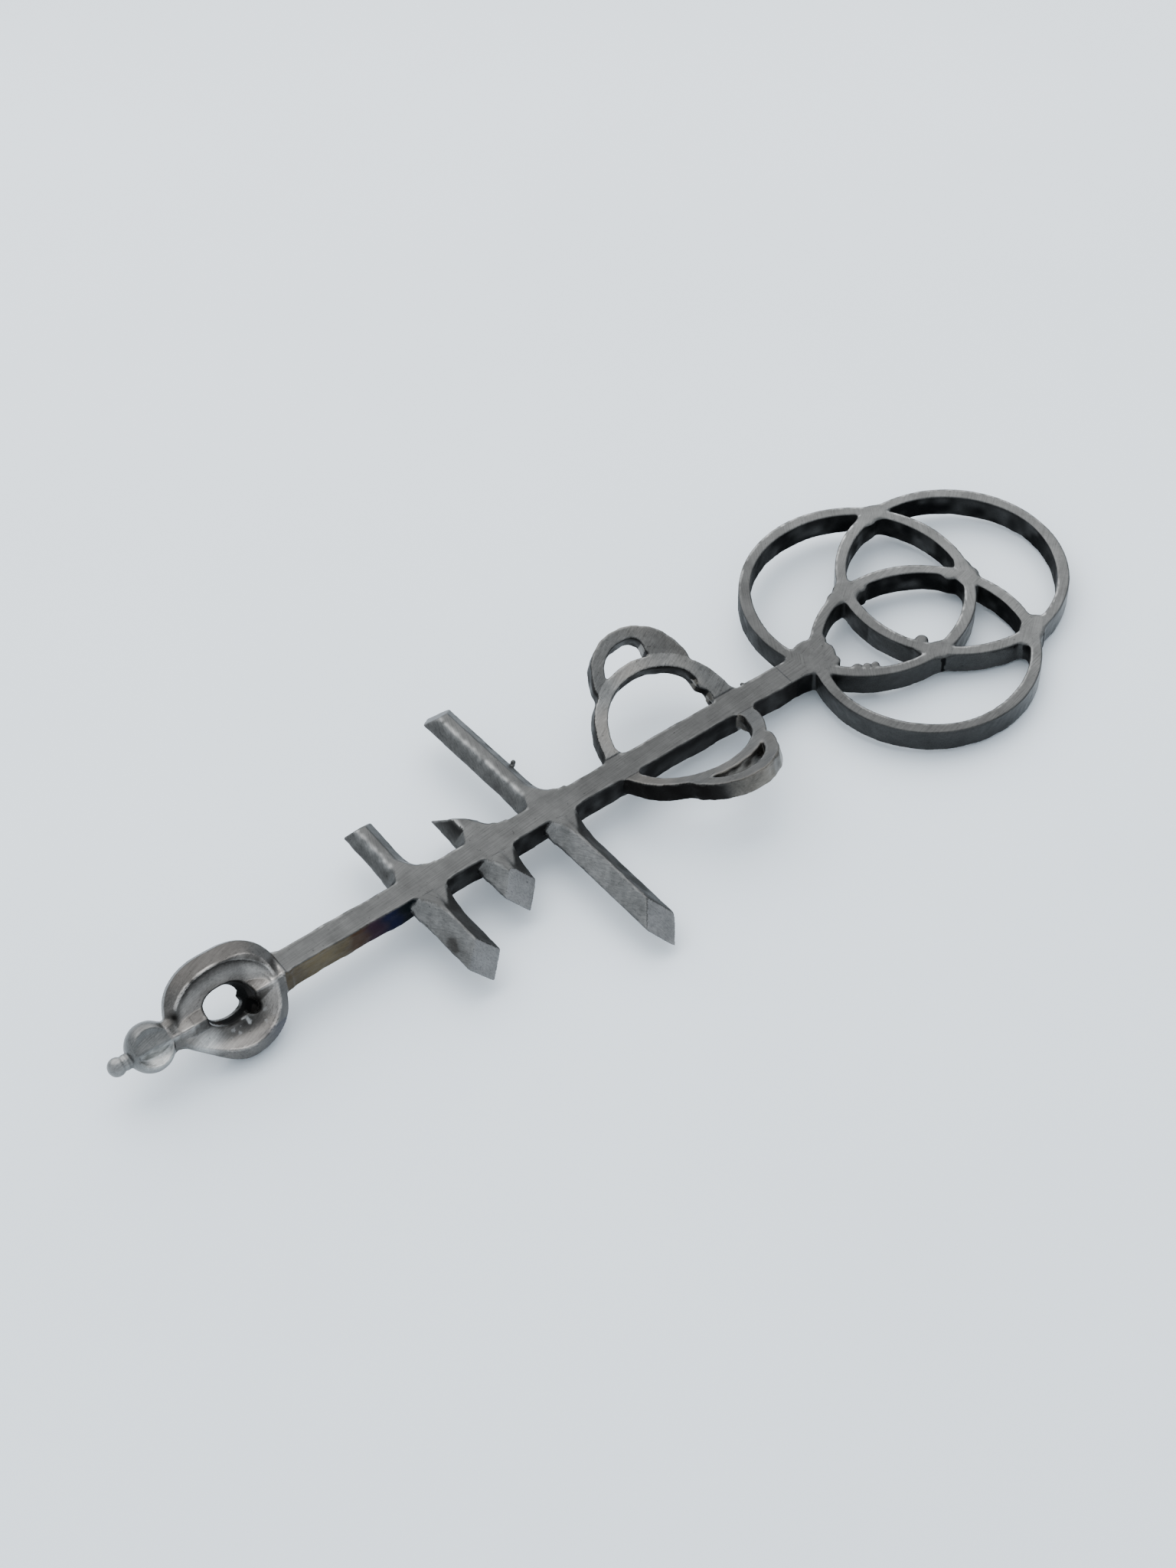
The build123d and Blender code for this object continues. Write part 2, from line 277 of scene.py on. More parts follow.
# ------------------------------------------------------------------ shaft
def shaft_field(x, y, z):
    """The square bar, a little wider next to the rings, with hand-ground sides."""
    wide = 5.0 + 0.5 * step(x, -82, -74) * step(-x, 44, 50)
    wob = 0.10 * np.sin(x * 0.21) + 0.08 * np.sin(x * 0.57 + 1.0)
    side = np.maximum(y - wide - wob, -y - wide + 0.12 * np.sin(x * 0.33 + 2))
    bar = bevel(side, np.abs(z - MID) - MID, 0.35)
    ends = np.maximum(x + 51.5, -284.5 - x)
    return np.maximum(bar, ends)


add("shaft", (-285, -6, 0), (-50, 6, 10), shaft_field, 1.2)


# ------------------------------------------------------------------ arms
def arm_frame(x, y, arm):
    """Along an arm from the shaft's axis, and across it."""
    lean = math.radians(arm.lean)
    dx, dy = x - arm.x, y * arm.side
    along = dy * math.cos(lean) + dx * math.sin(lean)
    across = dx * math.cos(lean) - dy * math.sin(lean)
    return along, across


def arm_end(arm, u, w, h):
    """Distance beyond the plane that an arm's end is cut to."""
    n = np.array([1.0, math.tan(math.radians(arm.skew)), math.tan(math.radians(arm.cut))])
    n /= np.linalg.norm(n)
    return (u - arm.reach) * n[0] + w * n[1] + h * n[2]


def arm_field(arm):
    """A square bar set edge up, with its end cut, its ridge ground and its root ground to the shaft."""
    def field(x, y, z):
        u, w = arm_frame(x, y, arm)
        h = z - MID
        wave = 0.12 * np.sin(u * 0.31 + arm.x) + 0.07 * np.sin(u * 0.9)
        a = np.abs(w + h) * HALF_ROOT - arm.bar / 2
        b = np.abs(w - h) * HALF_ROOT - arm.bar / 2 - wave
        body = bevel(a, b, 0.4)
        body = bevel(body, arm_end(arm, u, w, h) + 0.004 * (w * w + h * h), 0.3)
        body = bevel(body, z - arm.ground, 0.25)
        rise = (min(MID + arm.bar * HALF_ROOT, arm.ground) - TOP) / 15.0
        if rise > 0:
            body = soft_cut(body, (z - TOP - rise * (u - 5.0)) * 0.97, 0.8)
        return np.maximum(body, 3.0 - u)
    return field


def root_weld_field(arm):
    """Weld metal around an arm's root, flush with the shaft's top and fading out along the arm."""
    near = arm.bar * HALF_ROOT
    left = arm.side > 0
    leg = 5.8 if left else 3.4

    def field(x, y, z):
        u, w = arm_frame(x, y, arm)
        h = z - MID
        sunk = arm.bar / 2 - 1.0
        front = (w + h) * HALF_ROOT - sunk - 4.4 * (1 - step(u, 4.5, 18.0 if left else 20.0))
        back = (h - w) * HALF_ROOT - sunk - (2.9 if left else 2.3) * (1 - step(u, 4.5, 14.0))
        pad = np.maximum(np.maximum(front, back), np.maximum(np.abs(w) - near, u - 18.0))
        pad = np.maximum(np.maximum(pad, 2.0 - u), np.maximum(4.6 - z, arm_end(arm, u, w, h) + 0.6))
        block = np.maximum(np.maximum(u - 5 - leg, 2.0 - u), np.maximum(near - 4 - w, w - near - leg))
        curve = -(np.sqrt((w - near - leg) ** 2 + (u - 5 - leg) ** 2) - leg)
        block = np.maximum(np.maximum(block, curve), np.maximum(1.2 - z, (z - TOP + 1.1 * (u - 6.5)) * 0.67))
        return bevel(soft(pad, block, 1.5), z - TOP, 0.3)
    return field


for arm_name, arm in ARMS.items():
    y0, y1 = sorted((arm.side * 2.0, arm.side * (arm.reach + 14)))
    add(arm_name, (arm.x - 14, y0, -3), (arm.x + 14, y1, 13), arm_field(arm), 0.8)
    y0, y1 = sorted((arm.side * 2.0, arm.side * 18.0))
    add("weld_" + arm_name, (arm.x - 10, y0, 0), (arm.x + 16, y1, 11), root_weld_field(arm), 1.2)


def hook_spatter(x, y, z):
    """A ball of spatter on a short stalk, on the long left arm."""
    d = ball(x, y, z, -165.3, 28.6, 5.9, 1.0)
    return soft(d, ball(x, y, z, -166.0, 27.8, 5.2, 0.8), 0.6)


add("spatter_arm", (-168, 26, 3), (-163, 31, 8), hook_spatter, 0.3)


# ------------------------------------------------------------------ collar
def wing_frame(y, z, side):
    """Across the wing, out from the shaft's top edge, and depth below its face."""
    dy, dz = y * side - 5.0, z - TOP
    out = dy * math.cos(FOLD) + dz * math.sin(FOLD)
    below = dy * math.sin(FOLD) - dz * math.cos(FOLD)
    return out, below


def hoop_field(side):
    """A half hoop in a wing's plane, with weld lumps inside its front foot."""
    cx, r_out, r_in = HOOP

    def field(x, y, z):
        out, below = wing_frame(y, z, side)
        rad = np.sqrt((x - cx) ** 2 + out ** 2)
        ang = np.arctan2(out, x - cx)
        rough = 0.25 * np.sin(ang * 13 + side) + 0.18 * np.sin(ang * 29 + 2)
        lumpy = step(0.75 - np.abs(ang), 0.0, 0.35)
        weld = (3.0 if side > 0 else 0.8) * lumpy * (1 + 0.12 * np.sin(ang * 19) + 0.2 * np.sin(z * 1.7))
        wall = np.maximum(rad - r_out - 0.3 * rough, r_in - weld - rad + 0.15 * rough)
        slab = np.maximum(-below, below - WING_THICK)
        body = bevel(wall, slab, 0.35)
        foot = np.maximum(-2.6 - out, 3.0 - y * side)
        return np.maximum(body, foot)
    return field


def crest_field(hand, side):
    """The crescent outside a hoop; the left one's hole is closed off by a straight weld."""
    cx, cy, r = CRESTS[hand]

    def field(x, y, z):
        out, below = wing_frame(y, z, side)
        rad = np.sqrt((x - cx) ** 2 + (out - cy) ** 2)
        ang = np.arctan2(out - cy, x - cx)
        rough = 0.25 * np.sin(ang * 11) + 0.2 * np.sin(ang * 23 + 1)
        inner = r - 5.2 - rad + 0.2 * rough
        if side > 0:
            inner = soft(inner, -(x + 101.6 + 0.2 * np.sin(out * 0.9)), 2.0)
        wall = np.maximum(rad - r - 0.4 * rough, inner)
        slab = np.maximum(-below, below - WING_THICK)
        body = bevel(wall, slab, 0.35)
        return np.maximum(body, HOOP[1] - 1.0 - np.sqrt((x - HOOP[0]) ** 2 + out ** 2))
    return field


for hand, side in (("left", 1), ("right", -1)):
    y0, y1 = sorted((side * 3.0, side * 50.0))
    add(f"collar_hoop_{hand}", (-141, y0, 1), (-80, y1, 26), hoop_field(side), 3.2)
    add(f"collar_crest_{hand}", (-130, y0, 5), (-86, y1, 27), crest_field(hand, side), 1.0)
    cx, cy, r = CRESTS[hand]
    mid = r - 2.6
    dx, dy = cx - HOOP[0], cy
    gap = math.hypot(dx, dy)
    along = (HOOP[1] ** 2 - mid ** 2 + gap ** 2) / (2 * gap)
    for end, sign in (("front", -1), ("back", 1)):
        across = sign * math.sqrt(HOOP[1] ** 2 - along ** 2)
        jx = HOOP[0] + (along * dx - across * dy) / gap
        jo = (along * dy + across * dx) / gap

        def joint(x, y, z, jx=jx, jo=jo, side=side):
            """The weld where a crescent's end meets its hoop."""
            out, below = wing_frame(y, z, side)
            return bevel(np.sqrt((x - jx) ** 2 + (out - jo) ** 2) - 3.1, np.abs(below - 3.2) - 3.0, 1.2)

        add(f"weld_crest_{hand}_{end}", (jx - 5, y0, 5), (jx + 5, y1, 26), joint, 2.2,
            lambda d, x, y, z: d + 0.8)
        fx = HOOP[0] - sign * (HOOP[1] + HOOP[2]) / 2

        def foot_weld(x, y, z, fx=fx, side=side):
            """The weld under a hoop's foot."""
            d = ball(x, y, z, fx, side * 5.6, 6.2, 3.9)
            return np.maximum(d, 3.5 - y * side)

        yy = sorted((side * 3.0, side * 11.0))
        add(f"weld_hoop_{hand}_{end}", (fx - 5, yy[0], 1), (fx + 5, yy[1], 11), foot_weld, 2.0)
add("spatter_shaft", (-79, 4, 7), (-75, 8, 11), lambda x, y, z: ball(x, y, z, -77.0, 5.95, 8.8, 0.95), 0.3)


# ------------------------------------------------------------------ eye, bead and tip
def eye_axes(x, y, z):
    """Along the shaft, across the disc and out of its upper face."""
    c, s = math.cos(TWIST), math.sin(TWIST)
    dy, dz = y - EYE[1], z - EYE[2]
    return x - EYE[0], dy * c + dz * s, -dy * s + dz * c


def eye_hole(a, p, q):
    """The leaning oval hole, wider at its upper mouth, with a small lobe beside the spine."""
    rise = np.clip(q - 2.5, -10, 0)
    ka = np.abs(a - 0.7 - 0.12 * rise) / (9.1 + 0.32 * rise)
    kp = np.abs(p - 0.6 + 0.17 * rise) / (6.9 + 0.26 * rise)
    oval = ((ka ** 2.4 + kp ** 2.4) ** (1 / 2.4) - 1) * 6.5
    lobe = np.maximum(circle(a, p, 8.4, -4.2, 2.6), -q)
    return soft(oval, lobe, 1.0)


def eye_face(a, p, q, deep):
    """How far a point stands above a face: two bowls inside the crest, and the spine between."""
    k = np.sqrt((a / np.where(a > 0, 19.3, 25.0)) ** 2 + (p / np.where(p > 0, 15.5, 15.7)) ** 2)
    t = np.clip((1 - k) / 0.5, 0, 1)
    bowl = 7.3 - deep * t * (2 - t)
    spine = 5.7 + 0.06 * np.maximum(a, 0) - 0.9 * np.abs(p - 0.5)
    return (q - np.maximum(bowl, spine)) * 0.8


def eye_field(x, y, z):
    """The twisted disc: leaning rim, two faces, the hole, and a nick beside the neck."""
    a, p, q = eye_axes(x, y, z)
    k = (np.abs(a / 21.8) ** 2.3 + np.abs(p / np.where(p > 0, 20.2, 19.6)) ** 2.3) ** (1 / 2.3)
    rim = soft((k - 1) * 19.5, circle(a, p, 8.0, 4.5, 14.9), 2.0)
    rim = soft_cut(rim, -circle(a, p, -43.8, -45.6, 46.0), 7.0)
    body = np.maximum(rim, (rim * 5.5 + (np.abs(q) - 1.8) * 4.5) / 7.1)
    for face, deep in ((1, 5.2), (-1, 3.0)):
        body = soft_cut(body, eye_face(a, p, face * q, deep), 0.25)
    body = soft_cut(body, -eye_hole(a, p, q), 0.4)
    return soft_cut(body, -ball(a, p, q, -19.0, 7.0, 6.2, 2.6), 0.5)


def neck_field(x, y, z):
    """A short square bar into the disc, with a round of weld beside it."""
    bar = np.maximum(np.abs(y + 0.3), np.abs(z - 4.4)) - 4.1
    bar = bevel(bar, np.abs(x + 328.0) - 7.0, 0.3)
    a, p, q = eye_axes(x, y, z)
    return soft(bar, ball(a, p, q, -21.5, 3.4, 1.6, 3.2), 1.5)


def eye_weld_field(x, y, z):
    """The weld between the disc and the shaft's end."""
    side = np.maximum(np.abs(y) - 4.9, np.abs(z - MID) - 4.8)
    return np.maximum(side, np.abs(x + 286.5) - 3.4)


def bead_face(a, p, q):
    """The same two bowls and spine, small, on the bead."""
    k = np.sqrt(((a + 29.3) / 7.4) ** 2 + ((p - 1.0) / 7.0) ** 2)
    t = np.clip((1 - k) / 0.7, 0, 1)
    bowl = 5.4 - np.where(p > 1.0, 1.2, 3.0) * t * (2 - t)
    spine = 5.9 - np.where(p > 1.0, 0.35, 0.9) * np.abs(p - 1.0)
    return (q - np.maximum(bowl, spine)) * 0.8


def bead_field(x, y, z):
    """An egg with both faces of the disc's twist ground into it."""
    a, p, q = eye_axes(x, y, z)
    body = egg(a, p, q, (-29.5, 1.0, -0.2), (8.9, 9.0, 8.3))
    for face in (1, -1):
        body = soft_cut(body, bead_face(a, p, face * q), 0.25)
    dx = x - BEAD[0]
    return np.maximum(body, np.maximum(-8.2 - dx, dx - 6.9))


def collar_field(x, y, z):
    """The small stepped collar between the bead and the ball."""
    rad = np.sqrt((y + 0.3) ** 2 + (z - 4.4) ** 2)
    return bevel(rad - 2.9 + 0.075 * (x + 345.8), np.abs(x + 345.8) - 1.5, 0.7)


def tip_field(x, y, z):
    """The ball at the tip."""
    return ball(x, y, z, -349.4, -0.3, 4.4, 3.45)


add("eye", (-330, -21, -12), (-284, 21, 22), eye_field, 1.2)
add("weld_eye", (-291, -6, 0), (-282, 6, 10), eye_weld_field, 2.2)
add("neck", (-336, -7, -2), (-320, 7, 12), neck_field, 1.6)
add("bead", (-346, -10, -6), (-327, 10, 15), bead_field, 1.2)
add("tip_collar", (-348, -4, 1), (-343, 4, 8), collar_field, 0.7)
add("tip_ball", (-354, -4, 0), (-345, 4, 9), tip_field, 0.5)

# Everything on the shaft's top and on the rings is ground flush.
clip((-62, -70, 8), (71, 76, 14), lambda x, y, z: z - TOP, 0.5)
clip((-62, -70, -6), (71, 76, 2), lambda x, y, z: -z, 0.5)
clip((-284, -5.2, 8), (-60, 5.2, 16), lambda x, y, z: z - TOP + 0 * x)
clip((-245, -5.2, 8), (-150, 20.0, 16), lambda x, y, z: z - TOP + 0 * x)


def wing_top(x, y, z):
    """The shaft's top and the two wings' faces, as one ground surface."""
    left, right = wing_frame(y, z, 1)[1], wing_frame(y, z, -1)[1]
    return np.where(np.abs(y) < 5.0, z - TOP, np.where(y > 0, -left, -right)) + 0 * x


clip((-142, -48, 8), (-79, 50, 30), wing_top)

# ------------------------------------------------------------------ uneven hand-ground surface
band = np.flatnonzero(np.abs(FIELD.ravel()) < 1.3)
ix, iy, iz = np.unravel_index(band, SHAPE)
bp = np.stack([AX[0][ix], AX[1][iy], AX[2][iz]], 1)
side_of = np.sign(bp[:, 1])
sunk = wing_frame(bp[:, 1], bp[:, 2], side_of)[1]
on_wing = (bp[:, 0] > -142) & (bp[:, 0] < -79) & (np.abs(bp[:, 1]) > 5)
topness = step(bp[:, 2], 8.6, 9.6) * ((np.abs(bp[:, 1]) < 6) | (bp[:, 0] > -62))
topness = np.where(on_wing, 1 - step(sunk, 0.4, 1.4), topness)
facets = (np.abs(bp[:, 1]) > 6) & (bp[:, 0] < -145) & (bp[:, 0] > -250)
fine = facets | (bp[:, 0] < -284)
calmer = np.where(bp[:, 0] > -62, 0.55, 0.8)
rough = (0.24 * lump(bp, 4.2, 11) + 0.14 * lump(bp, 1.9, 12)) * np.where(fine, 0.24, calmer)
calm = 0.07 * lump(bp, 9.0, 13)
FIELD.ravel()[band] += rough * (1 - topness) + calm * topness

# ------------------------------------------------------------------ one mesh per label, sharing seams
INSIDE = FIELD < 0
TAG = np.where(INSIDE, LABEL, 0)


def crossings():
    """Every grid edge between two labels: its 4 cells, crossing point and the labels it parts."""
    cells, points, outer, pairs = [], [], [], []
    size = np.array(SHAPE)
    stride = np.array([SHAPE[1] * SHAPE[2], SHAPE[2], 1])
    for axis in range(3):
        a = [slice(None)] * 3
        b = [slice(None)] * 3
        a[axis] = slice(0, -1)
        b[axis] = slice(1, None)
        ta, tb = TAG[tuple(a)], TAG[tuple(b)]
        at = np.argwhere(ta != tb)
        la = ta[tuple(at.T)]
        lb = tb[tuple(at.T)]
        nxt = at.copy()
        nxt[:, axis] += 1
        fa, fb = FIELD[tuple(at.T)], FIELD[tuple(nxt.T)]
        out = (la == 0) | (lb == 0)
        t = np.where(out, fa / np.where(out, fa - fb, 1), 0.5)
        p = at.astype(np.float64)
        p[:, axis] += np.clip(t, 0.02, 0.98)
        u, v = (axis + 1) % 3, (axis + 2) % 3
        four = []
        for du, dv in ((-1, -1), (0, -1), (0, 0), (-1, 0)):
            c = at.copy()
            c[:, u] += du
            c[:, v] += dv
            four.append(c @ stride)
        cells.append(np.stack(four, 1))
        points.append(p)
        outer.append(out)
        pairs.append(np.stack([la, lb], 1))
    return [np.concatenate(k) for k in (cells, points, outer, pairs)]


CELLS, POINTS, OUTER, PAIRS = crossings()
keys, inverse = np.unique(CELLS.ravel(), return_inverse=True)
inverse = inverse.reshape(-1, 4)
weight = np.where(OUTER, 1.0, 1e-6)
total = np.zeros(len(keys))
VERTS = np.zeros((len(keys), 3))
for corner in range(4):
    total += np.bincount(inverse[:, corner], weight, len(keys))
    for i in range(3):
        VERTS[:, i] += np.bincount(inverse[:, corner], weight * POINTS[:, i], len(keys))
VERTS = VERTS / total[:, None] * GRID + LOW


def sample(p):
    """The field at any point, by trilinear interpolation."""
    q = (p - LOW) / GRID
    i = np.clip(np.floor(q).astype(int), 0, np.array(SHAPE) - 2)
    t = np.clip(q - i, 0, 1)
    out = 0
    for dx in (0, 1):
        for dy in (0, 1):
            for dz in (0, 1):
                w = (t[:, 0] if dx else 1 - t[:, 0]) * (t[:, 1] if dy else 1 - t[:, 1])
                w = w * (t[:, 2] if dz else 1 - t[:, 2])
                out = out + w * FIELD[i[:, 0] + dx, i[:, 1] + dy, i[:, 2] + dz]
    return out


NORMAL = np.stack([sample(VERTS + GRID * 0.5 * e) - sample(VERTS - GRID * 0.5 * e) for e in np.eye(3)], 1)
NORMAL /= np.linalg.norm(NORMAL, axis=1, keepdims=True) + 1e-9

# ------------------------------------------------------------------ colour, painted light and shade, and finish at each point
X, Y, Z = VERTS.T
NX, NY, NZ = NORMAL.T
PROBE = 1.2
UNDER = VERTS - PROBE * NORMAL
SHARP = sample(UNDER) + PROBE  # 0 under a flat face, and more the nearer an edge is
n_big, n_mid, n_fine = lump(VERTS, 14, 21), lump(VERTS, 4, 22), lump(VERTS, 1.6, 23)
rings_zone = step(X, -66, -60)
# painted shade: a mask that darkens the rings' far left
far_left_shade = rings_zone * step(-X - 0.25 * Y, -12, 34)
wall = 1 - step(np.abs(NZ), 0.45, 0.8)

GREY = (0.205, 0.205, 0.20)
# colour of the painted highlights on the edges
EDGE_GLINT = (1.1, 1.1, 1.08)
GAIN = 0.41
SMOOTH, GROUND_ARM = 0.36, 0.44
# painted light: tones for the arms' facets that face -X
BACK_LIT_LEFT, BACK_LIT_RIGHT = (0.18, 0.18, 0.176), (0.43, 0.43, 0.42)
# Heat colours on the shaft's sides: place along the shaft, spread and colour.
HEAT = ((-283, 7, (0.10, 0.075, 0.05)), (-268, 13, (0.21, 0.165, 0.095)), (-254, 5, (0.12, 0.065, 0.035)),
        (-247, 4, (0.07, 0.03, 0.055)), (-240, 4, (0.02, 0.025, 0.085)), (-232, 5, (0.010, 0.018, 0.024)))


def paint(base, mask, colour):
    """Cover a tone with a colour where the mask is 1."""
    cover = np.clip(mask, 0, 1)[:, None]
    return base * (1 - cover) + np.array(colour) * cover


def scale(base, factor):
    """Brighten or darken a tone."""
    return base * factor[:, None]


def spot(a, p, at_a, at_p, size_a, size_p):
    """A soft patch on the eye or the bead."""
    return np.exp(-((a - at_a) / size_a) ** 2 - ((p - at_p) / size_p) ** 2)


def bare_tone():
    """Ground steel, duller on the shaft, with painted shade on the rings' far left."""
    base = scale(np.tile(np.array(GREY), (len(VERTS), 1)), 1 + 0.12 * n_big + 0.07 * n_mid)
    return scale(base, 1 - 0.25 * (1 - rings_zone) * (X > -285) - 0.40 * far_left_shade)


def ring_tone(base):
    """Dark scale with grey scuffs on the rings' walls, thinner on the outer ones, with painted shade keeping
    more of it on the far left's outer walls.
    """
    outward = np.zeros(len(VERTS))
    for cx, cy, r in RINGS.values():
        rad = np.hypot(X - cx, Y - cy)
        outward = np.maximum(outward, step(rad, r - 1.2, r - 0.4) * (rad < r + 1.5))
    dark = np.clip(rings_zone * wall * (0.78 + 0.25 * n_mid + 0.2 * n_big) * 1.15, 0, 1)
    # painted shade: the far left's outer walls keep more of the dark
    kept = 1 - 0.6 * outward * (1 - 0.5 * far_left_shade * (Y > 0))
    return paint(base, dark * kept, (0.010, 0.011, 0.012))


def shaft_tone(base):
    """Dark scale on the shaft's sides with heat colours towards the eye, painted shade on every face that
    points down, and a top that dulls.
    """
    sides = (np.abs(Y) < 6.4) * (X > -285) * (X < -60) * wall
    base = paint(base, sides * np.clip(0.85 + 0.25 * n_mid, 0, 1), (0.026, 0.025, 0.025))
    for at, spread, colour in HEAT:
        base = paint(base, 1.2 * sides * np.exp(-((X + 2.0 * n_mid - at) / spread) ** 2), colour)
    # painted shade on every face that points down
    base = paint(base, step(-NZ, 0.3, 0.7) * 0.75, (0.07, 0.07, 0.07))
    dull = (np.abs(Y) < 6) * (X > -285) * (1 - rings_zone) * (1 - wall)
    return scale(base, 1 - dull * (0.10 + 0.20 * step(X, -170, -150)))


def on_arm(arm):
    """Along and across an arm, and the points that are on it, clear of its root weld."""
    u, w = arm_frame(X, Y, arm)
    start = 12.0 - 0.5 * np.abs(w - 1.5) if arm.side > 0 else 5.6
    inside = (np.abs(w) < 9) & (u > start) & (u < arm.reach + 12) & (Y * arm.side > 5.2)
    return u, w, start, inside


def arm_tone(base, name, arm):
    """Painted light and shade on each facet of an arm by the way it faces and on its cut end, with soot by
    the root and, on the left, a ground ridge painted bright as a glint.
    """
    u, w, start, inside = on_arm(arm)
    left = arm.side > 0
    end_face = inside & (NY * arm.side > 0.45) & (u > arm.reach * 0.6)
    side_face = inside & ~end_face
    # painted shade on the facets that face +X
    front = (0.8 if left else 1.0) * side_face * step(NX, 0.40, 0.55) * (NZ > 0.15)
    base = paint(base, front * (0.85 + 0.3 * n_mid), (0.06, 0.06, 0.058))
    # painted light on the facets that face -X
    back = side_face * step(-NX, 0.40, 0.55) * (NZ > 0.15)
    base = paint(base, back * (0.8 + 0.25 * n_fine), BACK_LIT_LEFT if left else BACK_LIT_RIGHT)
    # painted light and shade on the cut end
    base = paint(base, end_face * 0.85, (END_LIT_TONE[name],) * 3)
    soot = side_face * step(n_big + 0.5 * n_mid, 0.1, 0.9) * np.exp(-((u - start - 2) / 5.0) ** 2)
    base = paint(base, soot * 0.7, (0.035, 0.034, 0.032))
    if left:
        # painted highlight: the ground ridge painted bright as a glint
        ridge = side_face * np.exp(-((w + 2.0) / 1.0) ** 2) * step(NZ, 0.5, 0.8) * step(u, 10, 13)
        base = paint(base, ridge * (0.45 + n_fine * 0.5), (0.75, 0.75, 0.73))
        rim = side_face * step(w, 4.0, 5.4) * step(n_fine + 0.4 * n_mid, 0.1, 0.6) * step(NZ, 0.1, 0.4)
        base = paint(base, rim * 0.6, (0.03, 0.03, 0.028))
    return base


def arm_marks(base):
    """Painted shade in the short left arm's hollow, and a burn on the medium right one."""
    u, w = arm_frame(X, Y, ARMS["arm_short_left"])
    # painted shade on the hollow's facets
    hollow = (np.abs(w) < 9) & (u > 10) & (u < 27) & (NX < -0.4) & (Y > 5.2)
    base = paint(base, hollow * step(w, -7.5, -3.0) * 0.9, (0.03, 0.03, 0.03))
    u, w = arm_frame(X, Y, ARMS["arm_medium_right"])
    burn = spot(u, w, 29, -5.5, 6, 2.0) * (Y < -10) * (np.abs(w) < 9)
    return paint(base, 0.8 * np.clip(burn * (1 + n_fine), 0, 1), (0.05, 0.045, 0.04))


def collar_tone(base):
    """Dark inner walls, tarnished outer ones, and straw-tinted faces, with painted light on the left wing
    and its hoop, and the crests' faces darker.
    """
    collar = (X > -142) & (X < -80) & (np.abs(Y) > 6)
    side = np.sign(Y)
    up = step(NZ * math.cos(FOLD) - NY * side * math.sin(FOLD), 0.7, 0.9)
    walls, faces = collar * (1 - up), collar * up
    outer = walls * (NY * side > 0.0)
    base = paint(base, walls * np.clip(0.85 + 0.3 * n_mid, 0, 1), (0.03, 0.028, 0.026))
    base = paint(base, outer * (0.8 + 0.5 * n_mid) * step(X, -121, -115), (0.34, 0.31, 0.27))
    base = paint(base, 0.8 * outer * step(-X, 118, 126) * (Y < 0), (0.018, 0.016, 0.015))
    base = paint(base, faces * np.clip(0.3 + 0.5 * n_big, 0, 1), (0.235, 0.215, 0.19))
    in_hoop = np.hypot(X - HOOP[0], wing_frame(Y, Z, side)[0]) < HOOP[1] + 0.3
    # painted light on the left wing's faces
    base = scale(base, 1 + 0.65 * faces * (Y > 0) * step(-X, 84, 112))
    # painted light on the left hoop's faces; the crests' faces darker
    return scale(base, 1 + faces * np.where(in_hoop, 0.35 * (Y > 0), -0.18))


